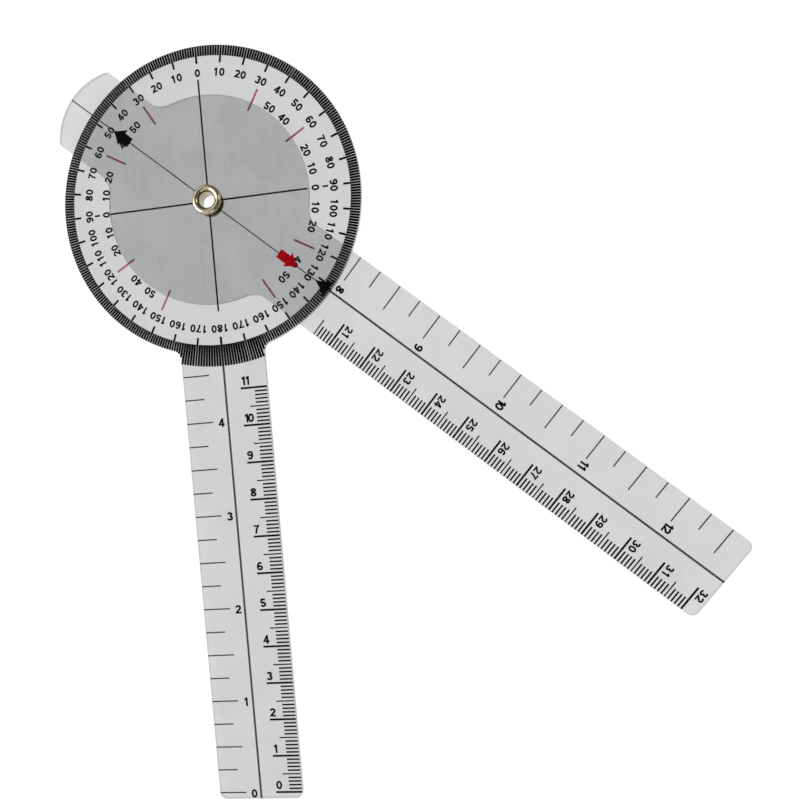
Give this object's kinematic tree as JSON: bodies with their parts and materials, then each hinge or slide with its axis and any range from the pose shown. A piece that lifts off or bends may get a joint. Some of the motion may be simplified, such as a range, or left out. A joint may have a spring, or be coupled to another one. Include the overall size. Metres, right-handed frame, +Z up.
{
  "type": "goniometer",
  "caption": "Clear two-arm joint-angle goniometer: a full-circle dial plate with a ruler arm, and a second ruler arm that swings on a hollow brass eyelet.",
  "frame": {"origin": "bottom centre of the bounding box, on the surface the goniometer lies on; the pivot axis stands at x = -0.0439 m, y = 0.0606 m", "axes": "+Z up, along the pivot axis, towards the side that is read; the dial arm runs from the pivot along -Y; +X towards the centimetre edge of the dial arm"},
  "size_m": [0.1698, 0.2032, 0.0049],
  "materials": {
    "dial_plastic": "clear sheet, lightly smoked, satin",
    "arm_plastic": "clear sheet, lightly smoked, satin",
    "eyelet_brass": "polished",
    "washer_brass": "satin",
    "black_ink": "screen-printed",
    "red_ink": "screen-printed"
  },
  "bodies": {
    "dial": {"dial_arm": "dial_plastic", "eyelet": "eyelet_brass", "eyelet_washer": "washer_brass"},
    "swing": {"moving_arm": "arm_plastic"}
  },
  "joints": [
    {"name": "arm_swing", "type": "hinge", "parent": "dial", "child": "swing", "pos_m": [-0.04391, 0.0606, 0.0025], "axis": [0, 0, 1], "continuous": true}
  ]
}
